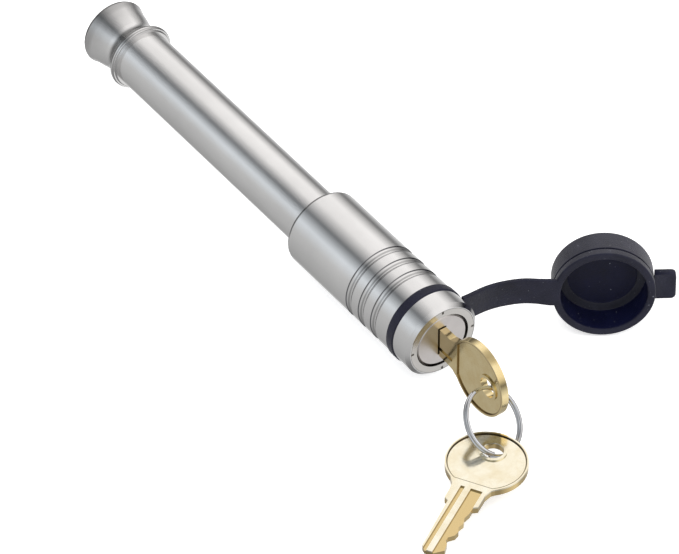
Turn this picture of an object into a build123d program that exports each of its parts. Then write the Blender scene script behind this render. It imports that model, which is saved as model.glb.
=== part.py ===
"""Barbell hitch pin lock: 5/8 in pin, keyed head, tethered rubber dust cap, two keys on a split ring.

Row frame: origin on the pin's axis at the head's pin-side face. The pin runs along +Y out of the head,
the key face looks along -Y, +Z is up and +X is the side the cap strap leaves on. Millimetres.
"""
import os
from math import atan2, cos, degrees, radians, sin

from build123d import *

# pin
SHANK_R = 7.9375          # 5/8 in
SPAN = 81.5               # head face to knob collar
SPIGOT_R = 7.86           # end of the shank that stays in the head's bore
RELIEF_R = 7.2            # groove where the shank meets the head
RELIEF_Y = (-1.4, 0.3)
NOSE_R = 5.2
NOSE_STEP_Y = -7.6
NOSE_END_Y = -17.3
NECK_R = 3.9
NECK_Y = (-15.7, -12.2)
COLLAR_R = 9.45
WAIST_R = 7.7
KNOB_R = 9.45
KNOB_LEN = 15.0

# head
HEAD_R = 11.0
HEAD_LEN = 53.0
HEAD_BACK_FILLET = 1.3
FACE_BEVEL = 1.0
BORE_R = 8.2
BORE_DEPTH = 8.0
CAVITY_R = 9.1
CAVITY_Y = -11.0
RING_SEAT_R = 9.85
RING_SEAT_Y = -48.8
SLOT_HALF = 0.3
SLOT_DEPTH = 0.5
GRIP_Y = (-27.5, -32.8, -38.1)
GRIP_WIDTH = 2.3
GRIP_DEPTH = 0.75
BAND_Y = (-46.8, -44.0)
BAND_SEAT_R = 9.8
BAND_R = 11.3
SEAL_Y = -4.2
SEAL_R = 8.76
SEAL_WIRE_R = 0.78

# lock cylinder
PLUG_R = 5.6
PLUG_FACE_R = 7.55
PLUG_BACK_Y = -23.0
PLUG_FACE_Y = -52.8
TAIL_R = 2.4
TAIL_SQUARE = 3.2
PLUG_FLANGE_Y = -50.9
SHELL_R = 9.05
SHELL_Y = (-48.6, -20.7)
RUN = 0.08
KEYWAY = (2.6, 8.6)
KEYWAY_END_Y = -33.6
WAFER_COUNT = 5
WAFER_PITCH = 2.4
WAFER_FIRST_Y = -47.5
WAFER_THICK = 1.0
WAFER_SIZE = (5.0, 9.9)
WAFER_WINDOW = 8.6
DOWEL_R = 0.6
DOWEL_LEN = 7.0
DOWEL_PLACE = (-43.0, 8.3)  # y, z

# locking jaws and scroll cam
JAW_TRAVEL = 1.3
JAW_TURN = 90.0
JAW_IN_R = 5.45
JAW_OUT_R = 8.7
JAW_HALF = 2.8
JAW_Y = (-15.4, -12.5)
PEG_R = 0.75
PEG_RADIUS = 7.5
PEG_END_Y = -19.8
CAM_R = 8.8
CAM_Y = (-20.2, -17.7)
CAM_SLOT_HALF = 0.9
SCREW_HEAD_R = 2.1
SCREW_HEAD_Y = (-18.88, -17.8)
SCREW_R = 0.75
SCREW_END_Y = -22.5

# strap and cap
STRAP_WIDTH = 8.0
STRAP_THICK = 1.2
STRAP_GAP = 1.1           # from a hinge to the end of the next link
STRAP_ROOT = (12.6, -46.6)
STRAP_HINGES = ((18.2, -46.8), (22.9, -47.9), (27.9, -50.2), (32.6, -54.1))
CAP_AZIMUTH = -123.6
CAP_TILT = 4.54
CAP_ARM = 14.2            # cap's axis to its hinge
CAP_DROP = 0.8            # cap's axis below the strap's middle
CAP_SETBACK = 0.7         # mouth to the strap's middle plane
CAP_R = 13.2
CAP_LENGTH = 9.8
CAP_GROOVE_Z = -2.5
CAP_GROOVE_R = 0.35
CAP_BORE_R = 11.13
CAP_BORE_DEPTH = 8.0
CAP_WELL_R = 8.9
CAP_WELL_DEPTH = 8.4
TAB_REACH = 18.6
TAB_WIDTH = 8.4
TAB_THICK = 2.2
TAB_SETBACK = 3.0         # cap's mouth to the tab's near face

# keys and split ring
KEY_THICK = 2.0
BOW_R = 10.5
FIELD_R = 9.9
FIELD_END_X = 8.5
BOW_RECESS = 0.35
KEY_HOLE_R = 2.75
KEY_HOLE_X = -4.05
SHOULDER_HALF = 4.5
SHOULDER_X = 16.0
BLADE_HALF = 3.3
BLADE_TIP_X = 34.8
GROOVE_DEPTH = 0.45
GROOVE_START_X = 10.6
NARROW_GROOVE_Y = (-2.4, -1.3)
BROAD_GROOVE_Y = 0.3
KEY_CENTRE = (0.0, -69.1, -0.35)
SPARE_CENTRE = (-12.525, -88.806, -7.91)
SPARE_X = (-0.8624, -0.5062, 0.0)
RING_CENTRE = (-4.751, -80.847, -4.043)
RING_NORMAL = (0.2729, -0.6632, 0.6969)
RING_START = (-0.5534, -0.7007, -0.4501)
RING_R = 8.8
RING_WIRE_R = 0.45
RING_PITCH = 0.94


def disc(r, y_low, y_high):
    """Solid cylinder on the lock's axis between two stations."""
    return Pos(0, (y_low + y_high) / 2, 0) * Rot(90, 0, 0) * Cylinder(r, y_high - y_low)


def tube(r_out, r_in, y_low, y_high):
    return disc(r_out, y_low, y_high) - disc(r_in, y_low - 1, y_high + 1)


def block(x, y, z):
    """Box between pairs of limits."""
    centre = Pos((x[0] + x[1]) / 2, (y[0] + y[1]) / 2, (z[0] + z[1]) / 2)
    return centre * Box(x[1] - x[0], y[1] - y[0], z[1] - z[0])


def turned(points):
    """Revolve an (r, y) outline about the lock's axis."""
    face = make_face(Polyline(*[(r, y) for r, y in points], close=True))
    return revolve(face, Axis.Y, 360)


def make_pin():
    end = SPAN + KNOB_LEN
    with BuildSketch() as outline:
        with BuildLine():
            start = (0, NOSE_END_Y)
            lower = Polyline(
                start,
                (NOSE_R - 0.9, NOSE_END_Y),
                (NOSE_R, NOSE_END_Y + 0.8),
                (NOSE_R, NECK_Y[0]),
                (NECK_R, NECK_Y[0]),
                (NECK_R, NECK_Y[1]),
                (NOSE_R, NECK_Y[1]),
                (NOSE_R, NOSE_STEP_Y),
                (SPIGOT_R - 0.9, NOSE_STEP_Y),
                (SPIGOT_R, NOSE_STEP_Y + 0.9),
                (SPIGOT_R, RELIEF_Y[0]),
                (RELIEF_R, RELIEF_Y[0]),
                (RELIEF_R, RELIEF_Y[1]),
                (SHANK_R, RELIEF_Y[1]),
                (SHANK_R, SPAN),
                (COLLAR_R - 0.9, SPAN),
                (COLLAR_R - 0.6, SPAN + 0.5),
                (COLLAR_R - 0.3, SPAN + 0.5),
            )
            collar = Spline(
                lower @ 1,
                (COLLAR_R, SPAN + 1.2),
                (COLLAR_R - 0.3, SPAN + 2.1),
                (WAIST_R + 0.55, SPAN + 3.3),
                (WAIST_R, SPAN + 5.6),
                (WAIST_R + 0.6, SPAN + 9.0),
                (KNOB_R - 0.5, SPAN + 12.2),
                (KNOB_R, end - 1.3),
            )
            rim = Spline(collar @ 1, (KNOB_R - 0.4, end - 0.4), (KNOB_R - 1.3, end))
            Polyline(rim @ 1, (0, end), start)
        make_face()
    return revolve(outline.sketch, Axis.Y, 360)


def make_housing():
    body = disc(HEAD_R, -HEAD_LEN, 0)
    back = body.edges().filter_by(GeomType.CIRCLE).sort_by(Axis.Y)[-1]
    body = fillet(back, HEAD_BACK_FILLET)
    front = body.edges().filter_by(GeomType.CIRCLE).sort_by(Axis.Y)[0]
    body = chamfer(front, FACE_BEVEL)
    body -= disc(BORE_R, -BORE_DEPTH, 1)
    body -= disc(NOSE_R + 0.3, CAVITY_Y - 1, 0)
    body -= disc(CAVITY_R, RING_SEAT_Y - 1, CAVITY_Y)
    body -= disc(RING_SEAT_R, -HEAD_LEN - 1, RING_SEAT_Y)
    body -= tube(HEAD_R + 1, BAND_SEAT_R, BAND_Y[0] - 0.05, BAND_Y[1] + 0.05)
    body -= disc(SEAL_R + SEAL_WIRE_R + 0.05, SEAL_Y - 0.85, SEAL_Y + 0.85)
    cut_r = (GRIP_WIDTH ** 2 / 4 + GRIP_DEPTH ** 2) / (2 * GRIP_DEPTH)
    for y in GRIP_Y:
        body -= Pos(0, y, 0) * Rot(90, 0, 0) * Torus(HEAD_R - GRIP_DEPTH + cut_r, cut_r)
    return body


def make_seal():
    return Pos(0, SEAL_Y, 0) * Rot(90, 0, 0) * Torus(SEAL_R, SEAL_WIRE_R)


def make_face_ring():
    ring = tube(RING_SEAT_R - 0.1, PLUG_FACE_R + 0.45, -HEAD_LEN, RING_SEAT_Y - 0.2)
    for turn in range(4):
        slot = block((8.9, 11), (-HEAD_LEN - 1, -HEAD_LEN + SLOT_DEPTH), (-SLOT_HALF, SLOT_HALF))
        ring -= Rot(0, 90 * turn, 0) * slot
    return ring


def make_shell():
    shell = disc(SHELL_R - 0.05, SHELL_Y[0], SHELL_Y[1])
    shell -= disc(PLUG_R + RUN, SHELL_Y[0] - 1, PLUG_BACK_Y + 0.3)
    shell -= disc(TAIL_R + RUN, PLUG_BACK_Y, 0)
    return shell


def wafer_stations():
    return [WAFER_FIRST_Y + WAFER_PITCH * i for i in range(WAFER_COUNT)]


def make_plug():
    plug = disc(PLUG_R, PLUG_FLANGE_Y, PLUG_BACK_Y)
    face = disc(PLUG_FACE_R, PLUG_FACE_Y, PLUG_FLANGE_Y)
    rim = face.edges().filter_by(GeomType.CIRCLE).sort_by(Axis.Y)[0]
    plug += chamfer(rim, 0.3)
    plug += disc(TAIL_R, PLUG_BACK_Y - 1, -20.8)
    half = TAIL_SQUARE / 2
    plug += block((-half, half), (-21.5, -19.0), (-half, half))
    plug -= block((-KEYWAY[0] / 2, KEYWAY[0] / 2), (-60, KEYWAY_END_Y), (-KEYWAY[1] / 2, KEYWAY[1] / 2))
    plug -= disc(SCREW_R + 0.05, SCREW_END_Y - 0.5, -18)
    for y in wafer_stations():
        plug -= Pos(0, y, 0) * Box(WAFER_SIZE[0] + 0.4, WAFER_THICK + 0.2, WAFER_SIZE[1] + 0.6)
    return plug


def make_wafers():
    """Five wafers, each a flat plate with a window that the blade passes through."""
    plates = []
    for y in wafer_stations():
        plate = Box(WAFER_SIZE[0], WAFER_THICK, WAFER_SIZE[1])
        window = Box(KEYWAY[0], 2 * WAFER_THICK, WAFER_WINDOW)
        plates.append(Pos(0, y, 0) * (plate - window))
    return Compound(children=plates)


def slot_band(start):
    """Archimedean slot: its radius falls by the jaw travel over the plug's quarter turn."""
    steps = 18
    outer = []
    inner = []
    for i in range(steps + 1):
        part = i / steps
        angle = radians(start + JAW_TURN * part)
        r = PEG_RADIUS - JAW_TRAVEL * part
        outer.append(((r + CAM_SLOT_HALF) * cos(angle), (r + CAM_SLOT_HALF) * sin(angle)))
        inner.append(((r - CAM_SLOT_HALF) * cos(angle), (r - CAM_SLOT_HALF) * sin(angle)))
    face = make_face(Polyline(*outer, *reversed(inner), close=True))
    band = extrude(face, 6, both=True)
    for part, r in ((0, PEG_RADIUS), (1, PEG_RADIUS - JAW_TRAVEL)):
        angle = radians(start + JAW_TURN * part)
        band += Pos(r * cos(angle), r * sin(angle), 0) * Cylinder(CAM_SLOT_HALF, 12)
    return Pos(0, sum(CAM_Y) / 2, 0) * Rot(90, 0, 0) * band


def make_cam():
    cam = disc(CAM_R, CAM_Y[0], CAM_Y[1])
    half = TAIL_SQUARE / 2 + 0.05
    cam -= block((-half, half), (CAM_Y[0] - 1, -18.9), (-half, half))
    cam -= disc(SCREW_HEAD_R + 0.1, -18.9, CAM_Y[1] + 1)
    for start in (0, 180):
        cam -= slot_band(start)
    return cam


def make_cam_screw():
    head = disc(SCREW_HEAD_R, *SCREW_HEAD_Y)
    head -= block((-SCREW_HEAD_R - 1, SCREW_HEAD_R + 1), (SCREW_HEAD_Y[1] - 0.4, SCREW_HEAD_Y[1] + 1), (-0.3, 0.3))
    return head + disc(SCREW_R, SCREW_END_Y, SCREW_HEAD_Y[0] + 0.05)


def make_jaw(side):
    """One locking jaw with its cam peg, drawn in its retracted place; side is +1 or -1."""
    ring = tube(JAW_OUT_R, JAW_IN_R, JAW_Y[0], JAW_Y[1])
    jaw = ring & block((3, 10), JAW_Y, (-JAW_HALF, JAW_HALF))
    jaw += Pos(PEG_RADIUS, 0, 0) * disc(PEG_R, PEG_END_Y, JAW_Y[0] + 0.5)
    return jaw if side > 0 else Rot(0, 180, 0) * jaw


def make_jaw_guide():
    guide = tube(CAVITY_R - 0.05, NOSE_R + 0.3, JAW_Y[0], CAVITY_Y - 0.05)
    slot = JAW_HALF + 0.3
    guide -= block((-12, 12), (JAW_Y[0] - 1, JAW_Y[1] + 0.3), (-slot, slot))
    return guide


def make_shell_dowel():
    """Dowel that keys the shell to the housing."""
    return Pos(0, *DOWEL_PLACE) * Rot(90, 0, 0) * Cylinder(DOWEL_R, DOWEL_LEN)


def strap_link(p, q, end_gap=0.0):
    """Straight length of strap between two hinges, with a rounded end at the second unless it stops short."""
    run = ((q[0] - p[0]) ** 2 + (q[1] - p[1]) ** 2) ** 0.5
    turn = degrees(atan2(q[1] - p[1], q[0] - p[0]))
    link = block((0, run - end_gap), (-STRAP_THICK / 2, STRAP_THICK / 2), (-STRAP_WIDTH / 2, STRAP_WIDTH / 2))
    if not end_gap:
        link += Pos(run, 0, 0) * Cylinder(STRAP_THICK / 2, STRAP_WIDTH)
    return Pos(p[0], p[1], 0) * Rot(0, 0, turn) * link


def hinge_gap(p):
    return Pos(p[0], p[1], 0) * Cylinder(STRAP_GAP, STRAP_WIDTH + 2)


def make_strap_band():
    band = tube(BAND_R, BAND_SEAT_R + 0.05, BAND_Y[0], BAND_Y[1])
    root = block((BAND_SEAT_R + 0.2, STRAP_ROOT[0] + 0.4), (BAND_Y[0] - 0.4, BAND_Y[0] + 0.8),
                 (-STRAP_WIDTH / 2, STRAP_WIDTH / 2))
    root -= disc(BAND_R - 0.25, BAND_Y[0] - 2, BAND_Y[1] + 2)
    return band + root + strap_link(STRAP_ROOT, STRAP_HINGES[0])


def make_strap_link(number):
    """Middle link of the strap; it starts clear of its first hinge and is rounded at its second."""
    p, q = STRAP_HINGES[number], STRAP_HINGES[number + 1]
    return strap_link(p, q) - hinge_gap(p)


def make_strap_tip():
    p, q = STRAP_HINGES[2], STRAP_HINGES[3]
    return strap_link(p, q, end_gap=STRAP_THICK / 2 + 0.35) - hinge_gap(p)


def cap_frame():
    """Cap's own frame: Z out of its mouth, X across to the pull tab, Y up."""
    azimuth = radians(CAP_AZIMUTH)
    tilt = radians(CAP_TILT)
    mouth = Vector(cos(azimuth) * cos(tilt), sin(azimuth) * cos(tilt), sin(tilt))
    across = Vector(-sin(azimuth), cos(azimuth), 0)
    up = mouth.cross(across)
    hinge = Vector(STRAP_HINGES[3][0], STRAP_HINGES[3][1], 0)
    centre = hinge + across * CAP_ARM - up * CAP_DROP + mouth * CAP_SETBACK
    return Plane(origin=centre, x_dir=across, z_dir=mouth)


def make_cap():
    """Cup with a groove behind its lip, a bore for the head, a shallow well and the strap's lug."""
    cup = Pos(0, 0, -CAP_LENGTH / 2) * Cylinder(CAP_R, CAP_LENGTH)
    ends = cup.edges().filter_by(GeomType.CIRCLE).sort_by(Axis.Z)
    cup = fillet(ends[0], 1.0)
    cup = fillet(cup.edges().filter_by(GeomType.CIRCLE).sort_by(Axis.Z)[-1], 0.3)
    cup -= Pos(0, 0, CAP_GROOVE_Z) * Torus(CAP_R + 0.05, CAP_GROOVE_R)
    lug_z = (-CAP_SETBACK - STRAP_THICK / 2, -CAP_SETBACK + STRAP_THICK / 2)
    lug_y = (CAP_DROP - STRAP_WIDTH / 2, CAP_DROP + STRAP_WIDTH / 2)
    cup += block((-CAP_ARM, -CAP_R + 1.2), lug_y, lug_z)
    cup += Pos(-CAP_ARM, CAP_DROP, -CAP_SETBACK) * Rot(90, 0, 0) * Cylinder(STRAP_THICK / 2, STRAP_WIDTH)
    cup -= Pos(0, 0, -CAP_BORE_DEPTH / 2 + 0.5) * Cylinder(CAP_BORE_R, CAP_BORE_DEPTH + 1)
    return cap_frame() * (cup - Pos(0, 0, -CAP_WELL_DEPTH / 2) * Cylinder(CAP_WELL_R, CAP_WELL_DEPTH))


def make_pull_tab():
    tab = block((CAP_R - 0.6, TAB_REACH), (-TAB_WIDTH / 2, TAB_WIDTH / 2), (-TAB_SETBACK - TAB_THICK, -TAB_SETBACK))
    tab = fillet(tab.edges().filter_by(Axis.Z).sort_by(Axis.X)[-2:], 1.6)
    tab -= Pos(0, 0, -5) * Cylinder(CAP_R + 0.03, 20)
    return cap_frame() * tab


def blade_outline():
    """The key in plan beyond its bow: neck, shoulders, then the blade with shallow cuts along one edge."""
    edge = BLADE_HALF
    back = [
        (6.0, -8.6),
        (8.2, -6.4),
        (10.6, -4.8),
        (13.0, -SHOULDER_HALF),
        (SHOULDER_X, -SHOULDER_HALF),
        (SHOULDER_X + 0.7, -edge),
        (BLADE_TIP_X - 1.3, -edge + 0.4),
        (BLADE_TIP_X, -1.8),
    ]
    cuts = [
        (BLADE_TIP_X, 0.6),
        (BLADE_TIP_X - 2.0, edge - 0.5),
        (BLADE_TIP_X - 4.3, edge - 0.9),
        (BLADE_TIP_X - 5.3, edge - 1.6),
        (BLADE_TIP_X - 6.5, edge - 1.6),
        (BLADE_TIP_X - 7.8, edge - 0.3),
        (BLADE_TIP_X - 9.4, edge),
        (BLADE_TIP_X - 10.8, edge - 0.6),
        (BLADE_TIP_X - 12.6, edge),
        (BLADE_TIP_X - 14.4, edge - 0.5),
        (BLADE_TIP_X - 16.4, edge),
    ]
    front = [(SHOULDER_X + 0.7, edge), (SHOULDER_X, SHOULDER_HALF), (11.6, SHOULDER_HALF), (9.4, 5.2), (6.0, 8.6)]
    return back + cuts + front


def make_key():
    """Flat brass key about its bow's centre: X to the tip, Y across, Z through the plate."""
    top = KEY_THICK / 2
    plate = Cylinder(BOW_R, KEY_THICK)
    plate += extrude(make_face(Polyline(*blade_outline(), close=True)), top, both=True)
    field = Cylinder(FIELD_R, BOW_RECESS) & block((-20, FIELD_END_X), (-20, 20), (-2, 2))
    field -= Pos(KEY_HOLE_X, 0, 0) * Cylinder(KEY_HOLE_R + 0.8, 2)
    narrow = block((GROOVE_START_X, 40), NARROW_GROOVE_Y, (0, GROOVE_DEPTH))
    broad = block((GROOVE_START_X, 40), (BROAD_GROOVE_Y, BLADE_HALF + 0.1), (0, GROOVE_DEPTH))
    for side in (0, 180):
        plate -= Rot(side, 0, 0) * Pos(0, 0, top - BOW_RECESS / 2) * field
    plate -= Pos(0, 0, top - GROOVE_DEPTH) * narrow
    plate -= Pos(0, 0, top - GROOVE_DEPTH) * broad
    plate -= Pos(0, 0, -top) * narrow
    return plate - Pos(KEY_HOLE_X, 0, 0) * Cylinder(KEY_HOLE_R, 6)


def make_split_ring():
    """Two turns of round wire, side by side."""
    path = Helix(pitch=RING_PITCH, height=2 * RING_PITCH, radius=RING_R)
    start = Plane(origin=path @ 0, z_dir=path % 0)
    coil = sweep(start * Circle(RING_WIRE_R), path)
    where = Plane(origin=RING_CENTRE, x_dir=RING_START, z_dir=RING_NORMAL)
    return where * Pos(0, 0, -RING_PITCH) * coil


def build_nodes():
    key = make_key()
    in_lock = Plane(origin=KEY_CENTRE, x_dir=(0, 1, 0), z_dir=(1, 0, 0))
    beside = Plane(origin=SPARE_CENTRE, x_dir=SPARE_X, z_dir=(0, 0, 1))
    return {
        "pin": make_pin(),
        "housing": make_housing(),
        "bore_seal": make_seal(),
        "face_ring": make_face_ring(),
        "cylinder_shell": make_shell() - make_shell_dowel(),
        "shell_dowel": make_shell_dowel(),
        "plug": make_plug(),
        "wafers": make_wafers(),
        "cam": make_cam(),
        "cam_screw": make_cam_screw(),
        "jaw_right": make_jaw(1),
        "jaw_left": make_jaw(-1),
        "jaw_guide": make_jaw_guide(),
        "strap_band": make_strap_band(),
        "strap_near": make_strap_link(0),
        "strap_mid": make_strap_link(1),
        "strap_tip": make_strap_tip(),
        "cap": make_cap(),
        "pull_tab": make_pull_tab(),
        "key": in_lock * key,
        "spare_key": beside * key,
        "split_ring": make_split_ring(),
    }


os.makedirs("parts", exist_ok=True)
for name, shape in build_nodes().items():
    export_step(shape, f"parts/{name}.step")
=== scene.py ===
import bmesh
import bpy
from math import cos, hypot, pi, radians, sin
from mathutils import Matrix, Vector


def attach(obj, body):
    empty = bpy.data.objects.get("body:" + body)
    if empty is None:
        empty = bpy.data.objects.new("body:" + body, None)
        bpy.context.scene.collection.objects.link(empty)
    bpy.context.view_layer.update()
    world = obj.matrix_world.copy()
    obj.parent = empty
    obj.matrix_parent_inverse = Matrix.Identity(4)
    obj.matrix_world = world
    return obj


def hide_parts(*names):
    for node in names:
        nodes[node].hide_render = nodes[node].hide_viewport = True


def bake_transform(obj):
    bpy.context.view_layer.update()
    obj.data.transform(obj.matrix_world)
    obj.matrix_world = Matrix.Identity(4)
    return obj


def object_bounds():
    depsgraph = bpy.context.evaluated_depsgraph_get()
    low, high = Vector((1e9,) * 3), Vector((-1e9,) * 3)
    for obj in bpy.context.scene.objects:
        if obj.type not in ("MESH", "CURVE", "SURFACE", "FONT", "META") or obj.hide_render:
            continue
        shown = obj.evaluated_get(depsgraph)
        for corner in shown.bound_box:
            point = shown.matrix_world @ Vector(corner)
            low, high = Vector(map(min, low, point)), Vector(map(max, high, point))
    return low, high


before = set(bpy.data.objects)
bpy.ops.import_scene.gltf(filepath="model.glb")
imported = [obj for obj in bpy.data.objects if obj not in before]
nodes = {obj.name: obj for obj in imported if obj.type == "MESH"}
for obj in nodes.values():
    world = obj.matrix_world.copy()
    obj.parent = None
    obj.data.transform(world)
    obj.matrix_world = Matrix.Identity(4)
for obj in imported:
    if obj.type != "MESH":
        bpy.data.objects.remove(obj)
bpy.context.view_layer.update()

MM = 0.001

# head and keys, repeated from the CAD
GROOVE_PLACES = (-27.5, -32.8, -38.1)
FIELD_R = 9.9
FIELD_END = 8.5

# cap and strap, repeated from the CAD
STRAP_ROOT = (12.6, -46.6)
STRAP_HINGES = ((18.2, -46.8), (22.9, -47.9), (27.9, -50.2), (32.6, -54.1))
CAP_AZIMUTH = radians(-123.6)
CAP_TILT = radians(4.54)
CAP_ARM = 14.2
CAP_DROP = 0.8
CAP_SETBACK = 0.7
STRAP_HALF_WIDTH = 4.0
STRAP_HALF_THICK = 0.6


# ---------------------------------------------------------------- materials

def node(tree, kind, **values):
    """Adds a shader node and sets its named inputs and properties."""
    n = tree.nodes.new(kind)
    for key, value in values.items():
        if key in n.inputs:
            n.inputs[key].default_value = value
        else:
            setattr(n, key, value)
    return n


def new_material(name, color, metallic, roughness, specular=0.5):
    mat = bpy.data.materials.new(name)
    mat.use_nodes = True
    tree = mat.node_tree
    shader = tree.nodes["Principled BSDF"]
    shader.inputs["Base Color"].default_value = (*color, 1)
    shader.inputs["Metallic"].default_value = metallic
    shader.inputs["Roughness"].default_value = roughness
    shader.inputs["Specular IOR Level"].default_value = specular
    return mat, tree, shader


def coords(tree, scale):
    """Object coordinates stretched per axis, so that noise runs as streaks."""
    source = tree.nodes.new("ShaderNodeTexCoord")
    mapping = tree.nodes.new("ShaderNodeMapping")
    mapping.inputs["Scale"].default_value = scale
    tree.links.new(source.outputs["Object"], mapping.inputs["Vector"])
    return mapping.outputs["Vector"]


def noise(tree, vector, scale=1.0, detail=4.0, rough=0.6):
    n = node(tree, "ShaderNodeTexNoise", Scale=scale, Detail=detail, Roughness=rough)
    tree.links.new(vector, n.inputs["Vector"])
    return n.outputs["Fac"]


def ranged(tree, value, low, high, start=0.3, stop=0.7):
    n = tree.nodes.new("ShaderNodeMapRange")
    n.inputs["From Min"].default_value = start
    n.inputs["From Max"].default_value = stop
    n.inputs["To Min"].default_value = low
    n.inputs["To Max"].default_value = high
    tree.links.new(value, n.inputs["Value"])
    return n.outputs["Result"]


def tinted(tree, value, dark, light, start=0.3, stop=0.7):
    ramp = tree.nodes.new("ShaderNodeValToRGB")
    ramp.color_ramp.elements[0].position = start
    ramp.color_ramp.elements[1].position = stop
    ramp.color_ramp.elements[0].color = (*dark, 1)
    ramp.color_ramp.elements[1].color = (*light, 1)
    tree.links.new(value, ramp.inputs["Fac"])
    return ramp.outputs["Color"]


def bumps(tree, shader, layers):
    """Chains bump maps: (height socket, strength, distance in metres)."""
    last = None
    for height, strength, distance in layers:
        bump = node(tree, "ShaderNodeBump", Strength=strength, Distance=distance)
        tree.links.new(height, bump.inputs["Height"])
        if last:
            tree.links.new(last, bump.inputs["Normal"])
        last = bump.outputs["Normal"]
    tree.links.new(last, shader.inputs["Normal"])


def math_node(tree, operation, a, b=None):
    n = tree.nodes.new("ShaderNodeMath")
    n.operation = operation
    for socket, value in zip(n.inputs, (a, b)):
        if value is None:
            continue
        if isinstance(value, (int, float)):
            socket.default_value = value
        else:
            tree.links.new(value, socket)
    return n.outputs[0]


def blended(tree, factor, a, b, mode="MIX"):
    n = tree.nodes.new("ShaderNodeMix")
    n.data_type = "RGBA"
    n.blend_type = mode
    for name, value in (("Factor", factor), ("A", a), ("B", b)):
        if isinstance(value, (int, float)):
            n.inputs[name].default_value = value
        elif isinstance(value, tuple):
            n.inputs[name].default_value = (*value, 1)
        else:
            tree.links.new(value, n.inputs[name])
    return n.outputs["Result"]


def painted_groove_shade(tree):
    """1 in the painted shade line along both edges of each finger groove, 0 elsewhere."""
    source = tree.nodes.new("ShaderNodeTexCoord")
    split = tree.nodes.new("ShaderNodeSeparateXYZ")
    tree.links.new(source.outputs["Object"], split.inputs[0])
    nearest = None
    for place in GROOVE_PLACES:
        from_middle = math_node(tree, "ABSOLUTE", math_node(tree, "SUBTRACT", split.outputs["Y"], place * MM))
        off = math_node(tree, "ABSOLUTE", math_node(tree, "SUBTRACT", from_middle, 1.12 * MM))
        nearest = off if nearest is None else math_node(tree, "MINIMUM", nearest, off)
    return ranged(tree, nearest, 1.0, 0.0, 0.05 * MM, 0.17 * MM)


def turned_steel(name, color, roughness, line_scale, line_strength, grain_strength, shade_groove_edges=False):
    """Stainless steel turned about the Y axis: fine lines round it, faint grain along it and soft stains, and
    on request a painted shade line along both edges of each finger groove.
    """
    mat, tree, shader = new_material(name, color, 1.0, roughness)
    lines = noise(tree, coords(tree, (25, line_scale, 25)), detail=3)
    grain = noise(tree, coords(tree, (2600, 700, 2600)), detail=2)
    stain = noise(tree, coords(tree, (70, 40, 70)), detail=4)
    dark = tuple(c * 0.93 for c in color)
    light = tuple(min(1, c * 1.04) for c in color)
    base = tinted(tree, stain, dark, light)
    if shade_groove_edges:
        # Painted shade: a dark line blended in along both edges of each finger groove.
        base = blended(tree, painted_groove_shade(tree), base, (0.20, 0.20, 0.21))
    tree.links.new(base, shader.inputs["Base Color"])
    wear = math_node(tree, "ADD", ranged(tree, lines, roughness * 0.42, roughness * 0.66),
               ranged(tree, stain, roughness * 0.42, roughness * 0.62))
    tree.links.new(wear, shader.inputs["Roughness"])
    bumps(tree, shader, [(lines, line_strength, 0.00004), (grain, grain_strength, 0.00005)])
    return mat


def rubber(name, color, sheen):
    """Matte moulded rubber: orange-peel skin, dust specks and a slightly paler bloom in patches."""
    mat, tree, shader = new_material(name, color, 0.0, 0.5, 0.35)
    shader.inputs["Sheen Weight"].default_value = sheen
    shader.inputs["Sheen Roughness"].default_value = 0.4
    bloom = noise(tree, coords(tree, (160, 160, 160)), detail=5)
    skin = noise(tree, coords(tree, (2600, 2600, 2600)), detail=3)
    specks = noise(tree, coords(tree, (1500, 1500, 1500)), detail=1)
    base = tinted(tree, bloom, tuple(c * 0.7 for c in color), tuple(c * 1.4 for c in color))
    fleck = tinted(tree, specks, (0, 0, 0), (0.16, 0.17, 0.19), 0.74, 0.80)
    tree.links.new(blended(tree, 1.0, base, fleck, "ADD"), shader.inputs["Base Color"])
    tree.links.new(ranged(tree, bloom, 0.38, 0.55), shader.inputs["Roughness"])
    bumps(tree, shader, [(skin, 0.9, 0.00014), (bloom, 0.15, 0.0002)])
    return mat


def key_coordinates(tree, centre, along, across):
    """Millimetres from the bow's centre, along the blade and across it."""
    source = tree.nodes.new("ShaderNodeTexCoord")
    shift = tree.nodes.new("ShaderNodeVectorMath")
    shift.operation = "SUBTRACT"
    shift.inputs[1].default_value = Vector(centre) * MM
    tree.links.new(source.outputs["Object"], shift.inputs[0])
    out = []
    for direction in (along, across):
        dot = tree.nodes.new("ShaderNodeVectorMath")
        dot.operation = "DOT_PRODUCT"
        dot.inputs[1].default_value = Vector(direction) / MM
        tree.links.new(shift.outputs[0], dot.inputs[0])
        out.append(dot.outputs["Value"])
    return out


def field_edge(tree, x, y):
    """1 on the step round the bow's field, where the colour darkens as painted shade with some grime, and 0
    away from it.
    """
    r = math_node(tree, "SQRT", math_node(tree, "ADD", math_node(tree, "MULTIPLY", x, x),
                                          math_node(tree, "MULTIPLY", y, y)))
    outside = math_node(tree, "MAXIMUM", math_node(tree, "SUBTRACT", r, FIELD_R),
                        math_node(tree, "SUBTRACT", x, FIELD_END))
    return ranged(tree, math_node(tree, "ABSOLUTE", outside), 1.0, 0.0, 0.09, 0.24)


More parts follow.
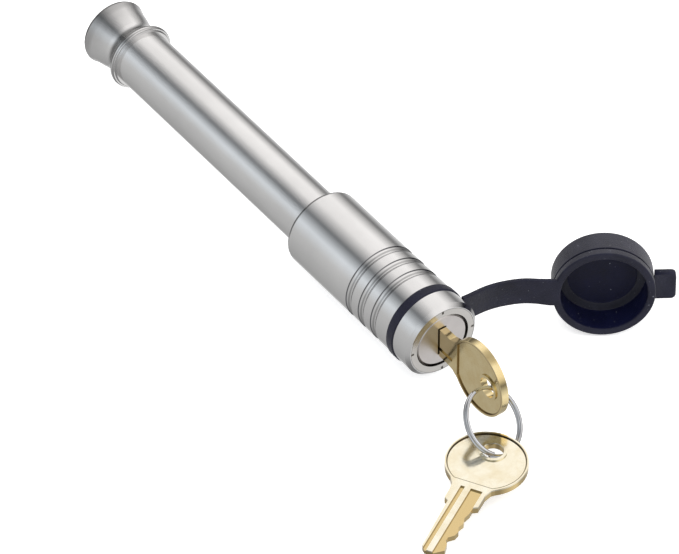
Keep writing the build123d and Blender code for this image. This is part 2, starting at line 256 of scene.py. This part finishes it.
def brass(name, color, roughness, streak, centre, along, across, step_grime_and_shade, groove=None):
    """Tumbled brass: milling streaks, small dents, patchy warm tarnish, and painted shade with some grime
    along the bow's step.
    """
    mat, tree, shader = new_material(name, color, 1.0, roughness)
    tarnish = noise(tree, coords(tree, (240, 240, 240)), detail=5)
    streaks = noise(tree, coords(tree, streak), detail=3)
    dents = noise(tree, coords(tree, (1500, 1500, 1500)), detail=1)
    dark = (color[0] * 0.88, color[1] * 0.82, color[2] * 0.70)
    base = tinted(tree, tarnish, dark, color)
    # For the spare key: below the given height the colour turns plain golden brass, so the pale colour passed
    # in stays only on the top face, as a painted highlight.
    if groove:
        source = tree.nodes.new("ShaderNodeTexCoord")
        split = tree.nodes.new("ShaderNodeSeparateXYZ")
        tree.links.new(source.outputs["Object"], split.inputs[0])
        low = ranged(tree, split.outputs["Z"], 1.0, 0.0, *groove)
        base = blended(tree, low, base, (0.72, 0.55, 0.27))
    if centre:
        x, y = key_coordinates(tree, centre, along, across)
        # Painted shade with some grime: the colour darkens along the step round the bow's field.
        base = blended(tree, field_edge(tree, x, y), base, step_grime_and_shade)
    tree.links.new(base, shader.inputs["Base Color"])
    wear = math_node(tree, "ADD", ranged(tree, streaks, roughness * 0.4, roughness * 0.65),
               ranged(tree, tarnish, roughness * 0.4, roughness * 0.65))
    tree.links.new(wear, shader.inputs["Roughness"])
    bumps(tree, shader, [(streaks, 0.08, 0.00003), (dents, 0.05, 0.00003)])
    return mat


def satin_face(name, color, roughness):
    """Plated lock face: fine turned rings about the axis."""
    mat, tree, shader = new_material(name, color, 1.0, roughness)
    patches = noise(tree, coords(tree, (300, 300, 300)), detail=4)
    fine = noise(tree, coords(tree, (2500, 2500, 2500)), detail=2)
    tree.links.new(tinted(tree, patches, tuple(c * 0.92 for c in color), color), shader.inputs["Base Color"])
    tree.links.new(ranged(tree, fine, roughness * 0.85, roughness * 1.15), shader.inputs["Roughness"])
    bumps(tree, shader, [(fine, 0.12, 0.00003)])
    return mat


STEEL = (0.80, 0.795, 0.79)
mats = {
    "shank": turned_steel("shank_steel", STEEL, 0.17, 2600, 0.06, 0.34),
    # The head's steel carries painted shade along the edges of its finger grooves.
    "head": turned_steel("head_steel", STEEL, 0.14, 1500, 0.42, 0.06, shade_groove_edges=True),
    "ring": turned_steel("ring_steel", (0.62, 0.60, 0.575), 0.22, 3000, 0.10, 0.10),
    "plug": satin_face("plug_face", (0.69, 0.655, 0.64), 0.34),
    "inner": satin_face("inner_steel", (0.42, 0.42, 0.43), 0.35),
    "zinc": satin_face("plated_zinc", (0.62, 0.62, 0.63), 0.32),
    "rubber": rubber("moulded_rubber", (0.0095, 0.010, 0.023), 0.08),
    # Copies of the one rubber in other tones: the cap's outer wall and inner floor ring are paler as painted
    # light, and its inside and bore are darker and bluer as painted shade.
    "wall": rubber("cap_wall_rubber_painted_light", (0.033, 0.033, 0.046), 0.2),
    "ledge": rubber("cap_ledge_rubber_painted_light", (0.020, 0.021, 0.032), 0.05),
    "well": rubber("cap_inside_rubber_painted_shade", (0.004, 0.005, 0.024), 0.0),
    "brass": brass("wafer_brass", (0.85, 0.70, 0.40), 0.2, (300, 2600, 2600), None, None, None, None),
    # Key: its last colour is painted shade with some grime along the bow's step.
    "key": brass("key_brass", (0.94, 0.79, 0.46), 0.14, (300, 2600, 2600), (0, -69.1, -0.35), (0, 1, 0),
                 (0, 0, 1),
                 (0.42, 0.31, 0.15)),
    # Spare key: the pale cream colour is a painted highlight over its top face, the golden brass below the
    # given height is the plain metal, and its dark step colour is painted shade with some grime.
    "spare": brass("spare_key_brass_painted_highlight", (0.99, 0.95, 0.80), 0.13, (1800, 1800, 300), (-12.525, -88.806, -7.91),
                   (-0.8624, -0.5062, 0), (0.5062, -0.8624, 0), (0.16, 0.12, 0.06), (-0.00734, -0.00730)),
    "nickel": satin_face("bright_nickel", (0.84, 0.85, 0.87), 0.05),
}


def repaint(name, mat):
    mesh = nodes[name].data
    mesh.materials.clear()
    mesh.materials.append(mat)


for name, mat in (
    ("pin", "shank"), ("housing", "head"), ("face_ring", "ring"), ("plug", "plug"),
    ("cylinder_shell", "zinc"), ("jaw_guide", "zinc"), ("cam", "inner"), ("cam_screw", "inner"),
    ("jaw_left", "inner"), ("jaw_right", "inner"), ("shell_dowel", "inner"), ("wafers", "brass"),
    ("bore_seal", "rubber"), ("strap_band", "rubber"), ("key", "key"), ("spare_key", "spare"),
    ("split_ring", "nickel"), ("strap_near", "rubber"), ("strap_mid", "rubber"), ("strap_tip", "rubber"),
    ("cap", "rubber"), ("pull_tab", "rubber"),
):
    repaint(name, mats[mat])


def soften(name, width, segments=2):
    """Rounds a CAD node's sharp edges a little, so that they catch the light."""
    bevel = nodes[name].modifiers.new("edge", "BEVEL")
    bevel.width = width * MM
    bevel.segments = segments
    bevel.limit_method = "ANGLE"
    bevel.angle_limit = radians(35)
    bevel.harden_normals = True


# ---------------------------------------------------------------- light, floor and camera

def make_floor():
    mesh = bpy.data.meshes.new("floor")
    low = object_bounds()[0][2] - 0.00002
    size = 3.0
    corners = [(-size, -size, low), (size, -size, low), (size, size, low), (-size, size, low)]
    mesh.from_pydata(corners, [], [(0, 1, 2, 3)])
    floor = bpy.data.objects.new("floor", mesh)
    bpy.context.collection.objects.link(floor)
    mat, tree, shader = new_material("floor_white", (0.9, 0.9, 0.9), 0.0, 0.9, 0.0)
    shader.inputs["Emission Color"].default_value = (1, 1, 1, 1)
    shader.inputs["Emission Strength"].default_value = 0.55
    mesh.materials.append(mat)
    floor.visible_glossy = False


# Studio surround against the angle from straight up, towards +X, in degrees: a ceiling softbox between two
# dark cards, a cool window on the left, a fill wall on the right and a dim bounce from below. The angles and
# levels are rounded from tones read off the photograph's metal, and this stays an uncleared fault.
SURROUND = (
    (-180, 0.30), (-90, 0.50), (-60, 0.70), (-28, 0.15), (10, 0.80), (50, 0.90), (90, 0.15), (140, 0.80),
    (180, 0.30),
)

# The same surround against the Y part of the direction.
ALONG = (
    (-1.0, 0.8), (-0.75, 1.0), (-0.45, 1.0), (-0.25, 0.6), (0.0, 0.5), (0.25, 0.6), (0.42, 0.95), (0.6, 1.0),
    (0.72, 0.95), (0.86, 0.3), (1.0, 0.2),
)


def surround_tint(degrees_up):
    """A cool window and its card on the left, a warm ceiling, and neutral walls."""
    if -60 <= degrees_up <= -28:
        return (0.95, 1.0, 1.05)
    if 10 <= degrees_up <= 50:
        return (1.0, 0.98, 0.97)
    return (1.0, 1.0, 1.0)


def make_world():
    world = bpy.data.worlds.new("studio")
    bpy.context.scene.world = world
    world.use_nodes = True
    tree = world.node_tree
    back = tree.nodes["Background"]
    source = tree.nodes.new("ShaderNodeTexCoord")
    split = tree.nodes.new("ShaderNodeSeparateXYZ")
    tree.links.new(source.outputs["Generated"], split.inputs[0])
    angle = math_node(tree, "ARCTAN2", split.outputs["X"], split.outputs["Z"])
    place = ranged(tree, angle, 0, 1, -pi, pi)
    along = ranged(tree, split.outputs["Y"], 0, 1, -1, 1)
    shade = tree.nodes.new("ShaderNodeValToRGB")
    shades = shade.color_ramp.elements
    while len(shades) < len(ALONG):
        shades.new(0.5)
    for stop, (y, level) in zip(shades, ALONG):
        stop.position = (y + 1) / 2
        stop.color = (level, level, level, 1)
    tree.links.new(along, shade.inputs["Fac"])
    ramp = tree.nodes.new("ShaderNodeValToRGB")
    stops = ramp.color_ramp.elements
    while len(stops) < len(SURROUND):
        stops.new(0.5)
    for stop, (degrees_up, level) in zip(stops, SURROUND):
        stop.position = (degrees_up + 180) / 360
        stop.color = (*(level * c for c in surround_tint(degrees_up)), 1)
    tree.links.new(place, ramp.inputs["Fac"])
    product = blended(tree, 1.0, ramp.outputs["Color"], shade.outputs["Color"], "MULTIPLY")
    tree.links.new(product, back.inputs["Color"])
    back.inputs["Strength"].default_value = 1.25


def softbox(name, place, size, energy):
    light = bpy.data.lights.new(name, "AREA")
    light.shape = "RECTANGLE"
    light.size, light.size_y = size
    light.energy = energy
    box = bpy.data.objects.new(name, light)
    box.location = place
    box.rotation_euler = (Vector((0, -0.04, 0)) - Vector(place)).to_track_quat("-Z", "Y").to_euler()
    box.visible_glossy = False
    bpy.context.collection.objects.link(box)


def make_camera():
    """A long lens about 1.5 m away, 42 degrees up and 35 degrees round to the left of the key face."""
    camera = bpy.data.cameras.new("camera")
    camera.sensor_width = 36
    camera.lens = 318.1
    camera.clip_start = 0.05
    place = bpy.data.objects.new("camera", camera)
    right = Vector((0.8142, -0.5806, 0)).normalized()
    forward = Vector((0.4287, 0.6011, -0.6745)).normalized()
    up = right.cross(forward)
    turn = Matrix((right, up, -forward)).transposed()
    place.matrix_world = Matrix.Translation(Vector((-0.6634, -0.9385, 1.0322))) @ turn.to_4x4()
    bpy.context.collection.objects.link(place)
    bpy.context.scene.camera = place


# ---------------------------------------------------------------- rubber pieces

def mesh_object(name, bm, mat):
    mesh = bpy.data.meshes.new(name)
    bmesh.ops.recalc_face_normals(bm, faces=bm.faces)
    bm.to_mesh(mesh)
    bm.free()
    for polygon in mesh.polygons:
        polygon.use_smooth = True
    mesh.materials.append(mat)
    obj = bpy.data.objects.new(name, mesh)
    bpy.context.collection.objects.link(obj)
    return obj


def cap_matrix():
    """From the cap's frame (X across to the tab, Y up, Z out of the mouth, in mm) to the row frame."""
    mouth = Vector((cos(CAP_AZIMUTH) * cos(CAP_TILT), sin(CAP_AZIMUTH) * cos(CAP_TILT), sin(CAP_TILT)))
    across = Vector((-sin(CAP_AZIMUTH), cos(CAP_AZIMUTH), 0))
    up = mouth.cross(across)
    centre = Vector((*STRAP_HINGES[3], 0)) + across * CAP_ARM - up * CAP_DROP + mouth * CAP_SETBACK
    turn = Matrix((across, up, mouth)).transposed().to_4x4()
    return Matrix.Scale(MM, 4) @ Matrix.Translation(centre) @ turn


def lathe(bm, profile, matrix, steps=128):
    rings = []
    for r, z in profile:
        if r < 1e-6:
            rings.append([bm.verts.new(matrix @ Vector((0, 0, z)))])
            continue
        ring = []
        for i in range(steps):
            a = 2 * pi * i / steps
            ring.append(bm.verts.new(matrix @ Vector((r * cos(a), r * sin(a), z))))
        rings.append(ring)
    for low, high in zip(rings, rings[1:]):
        for i in range(steps):
            j = (i + 1) % steps
            corners = [low[i % len(low)], low[j % len(low)], high[j % len(high)], high[i % len(high)]]
            unique = list(dict.fromkeys(corners))
            if len(unique) > 2:
                bm.faces.new(unique)


def rounded(points, radius=0.3, steps=4):
    """An open (r, z) outline with its inner corners rounded."""
    out = [points[0]]
    for before, here, after in zip(points, points[1:], points[2:]):
        a = Vector(before) - Vector(here)
        b = Vector(after) - Vector(here)
        reach = min(radius, a.length * 0.45, b.length * 0.45)
        p = Vector(here) + a.normalized() * reach
        q = Vector(here) + b.normalized() * reach
        for i in range(steps + 1):
            t = i / steps
            out.append(tuple(p * (1 - t) ** 2 + Vector(here) * 2 * t * (1 - t) + q * t * t))
    return out + [points[-1]]


def make_cap():
    """Cup with a groove behind its lip, a bore and a shallow well in its floor."""
    profile = [
        (0, -9.75), (12.1, -9.75), (12.75, -9.5), (13.1, -8.9), (13.15, -2.95), (13.12, -2.8), (12.65, -2.7),
        (12.65, -2.35), (13.15, -2.2), (13.18, -0.4), (12.95, -0.08), (12.7, -0.03),
        (11.4, -0.03), (11.17, -0.3),
        (11.17, -7.95), (8.97, -8.0), (8.93, -8.38), (0, -8.38),
    ]
    bm = bmesh.new()
    matrix = cap_matrix()
    lathe(bm, rounded(profile, 0.22), matrix)
    cap = mesh_object("cap_moulding", bm, mats["rubber"])
    for name in ("well", "wall", "ledge"):
        cap.data.materials.append(mats[name])
    back = matrix.inverted()
    # The cup's inside and bore take the darker copy as painted shade; its outer wall and inner floor ring
    # take the paler copies as painted light.
    for polygon in cap.data.polygons:
        at = back @ polygon.center
        r = hypot(at.x, at.y)
        if (r < 11.3 and -7.8 < at.z < -0.35) or r < 8.95:
            polygon.material_index = 1
        elif r > 12.8 and (at.z < -2.8 or -2.25 < at.z < -0.3):
            polygon.material_index = 2
        elif r < 11.3 and at.z < -7.8:
            polygon.material_index = 3
    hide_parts("cap")
    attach(cap, "cap_body")


def make_tab():
    """Pull tab: a pad with rounded corners and a shallow dished face."""
    bm = bmesh.new()
    matrix = cap_matrix()
    x0, x1, half, z0, z1 = 13.0, 18.55, 4.15, -5.15, -3.04
    outline = rounded([(x0, -half), (x1, -half), (x1, half), (x0, half)], 1.5, 6)
    layers = []
    for z, inset in ((z0, 0.35), (z0 + 0.3, 0.0), (z1 - 0.3, 0.0), (z1, 0.3), (z1 - 0.12, 0.75)):
        layer = []
        for x, y in outline:
            corner = Vector((x - inset if x > x0 + 1 else x, y * (1 - inset / half), z))
            layer.append(bm.verts.new(matrix @ corner))
        layers.append(layer)
    for low, high in zip(layers, layers[1:]):
        for i in range(len(low)):
            j = (i + 1) % len(low)
            bm.faces.new((low[i], low[j], high[j], high[i]))
    bm.faces.new(list(reversed(layers[0])))
    bm.faces.new(layers[-1])
    tab = mesh_object("cap_tab", bm, mats["rubber"])
    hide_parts("pull_tab")
    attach(tab, "cap_body")


def centreline(steps=24):
    """Smooth plan curve through the strap's hinge points, from inside the band to the cap's lip."""
    across = Vector((-sin(CAP_AZIMUTH), cos(CAP_AZIMUTH)))
    mouth = Vector((cos(CAP_AZIMUTH), sin(CAP_AZIMUTH)))
    end = Vector(STRAP_HINGES[3])
    knots = [Vector((9.6, -46.4)), Vector((11.0, -46.5)), Vector(STRAP_ROOT)]
    knots += [Vector(p) for p in STRAP_HINGES]
    knots += [end + across * a + mouth * m for a, m in ((1.4, 0.1), (2.75, 0.16), (4.1, 0.16))]
    points = []
    marks = []
    for i in range(1, len(knots) - 2):
        p0, p1, p2, p3 = knots[i - 1:i + 3]
        marks.append(len(points))
        for k in range(steps):
            t = k / steps
            points.append(0.5 * ((2 * p1) + (p2 - p0) * t + (2 * p0 - 5 * p1 + 4 * p2 - p3) * t * t
                                 + (3 * p1 - p0 - 3 * p2 + p3) * t ** 3))
    points.append(knots[-2])
    return points, marks


def strap_section():
    """Half-rounded flat section: (across the thickness, up), in mm."""
    w, t, r = STRAP_HALF_WIDTH - 0.02, STRAP_HALF_THICK - 0.02, 0.25
    section = []
    corners = ((t - r, w - r, 0), (-t + r, w - r, 90), (-t + r, -w + r, 180), (t - r, -w + r, 270))
    for cx, cy, start in corners:
        for i in range(5):
            a = radians(start + i * 22.5)
            section.append((cx + r * cos(a), cy + r * sin(a)))
    out = []
    for (x, y), (x2, y2) in zip(section, section[1:] + section[:1]):
        out.append((x, y))
        if abs(y2 - y) > 2:
            out += [(x, y + (y2 - y) * k / 6) for k in range(1, 6)]
    return out


def strap_piece(name, points, tilts):
    """Sweeps the section along the points, leaning it at each by its tilt, to lie flat on the cap's lip."""
    bm = bmesh.new()
    section = strap_section()
    rings = []
    for i, p in enumerate(points):
        a = points[max(i - 1, 0)]
        b = points[min(i + 1, len(points) - 1)]
        along = (b - a).normalized()
        level = Vector((-along.y, along.x, 0))
        rise = Vector((0, 0, 1))
        side = level * cos(tilts[i]) - rise * sin(tilts[i])
        up = rise * cos(tilts[i]) + level * sin(tilts[i])
        rings.append([bm.verts.new((Vector((*p, 0)) + side * u + up * v) * MM) for u, v in section])
    for low, high in zip(rings, rings[1:]):
        for i in range(len(section)):
            j = (i + 1) % len(section)
            bm.faces.new((low[i], low[j], high[j], high[i]))
    for end in (rings[0], rings[-1]):
        for edge in bm.faces.new(end).edges:
            edge.smooth = False
    return mesh_object(name, bm, mats["rubber"])


def make_band():
    """The band round the head, with softened edges."""
    bm = bmesh.new()
    turn = Matrix.Scale(MM, 4) @ Matrix.Rotation(radians(90), 4, "X")
    profile = [
        (9.87, 44.02), (11.1, 44.02), (11.27, 44.3), (11.28, 46.5), (11.1, 46.78), (9.87, 46.78),
        (9.87, 44.02),
    ]
    lathe(bm, rounded(profile, 0.2), turn, 160)
    band = mesh_object("strap_ring", bm, mats["rubber"])
    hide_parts("strap_band")
    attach(band, "head")


def make_strap():
    """Four lengths that meet between the hinges, each bending across one of them."""
    points, marks = centreline()
    hinges = marks[2:6]
    cuts = [0] + [(a + b) // 2 for a, b in zip(hinges, hinges[1:])] + [len(points) - 1]
    replaced = ((), ("strap_near",), ("strap_mid",), ("strap_tip",))
    ease = 12
    tilts = [CAP_TILT * min(max(i - hinges[-1] + ease, 0) / ease, 1) for i in range(len(points))]
    for i, hinge in enumerate(hinges):
        part = slice(cuts[i], cuts[i + 1] + 1)
        piece = strap_piece(f"strap_length_{i + 1}", points[part], tilts[part])
        if replaced[i]:
            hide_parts(*replaced[i])
        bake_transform(piece)


make_floor()
make_world()
softbox("key_light", (-0.5, -0.3, 1.1), (0.9, 0.9), 9)
softbox("fill_light", (0.9, -0.7, 0.7), (0.8, 0.8), 6)
make_camera()
bpy.context.scene.view_settings.view_transform = "Standard"

make_cap()
make_tab()
make_band()
make_strap()
soften("plug", 0.12)
soften("face_ring", 0.12)
soften("key", 0.18)
soften("spare_key", 0.18)
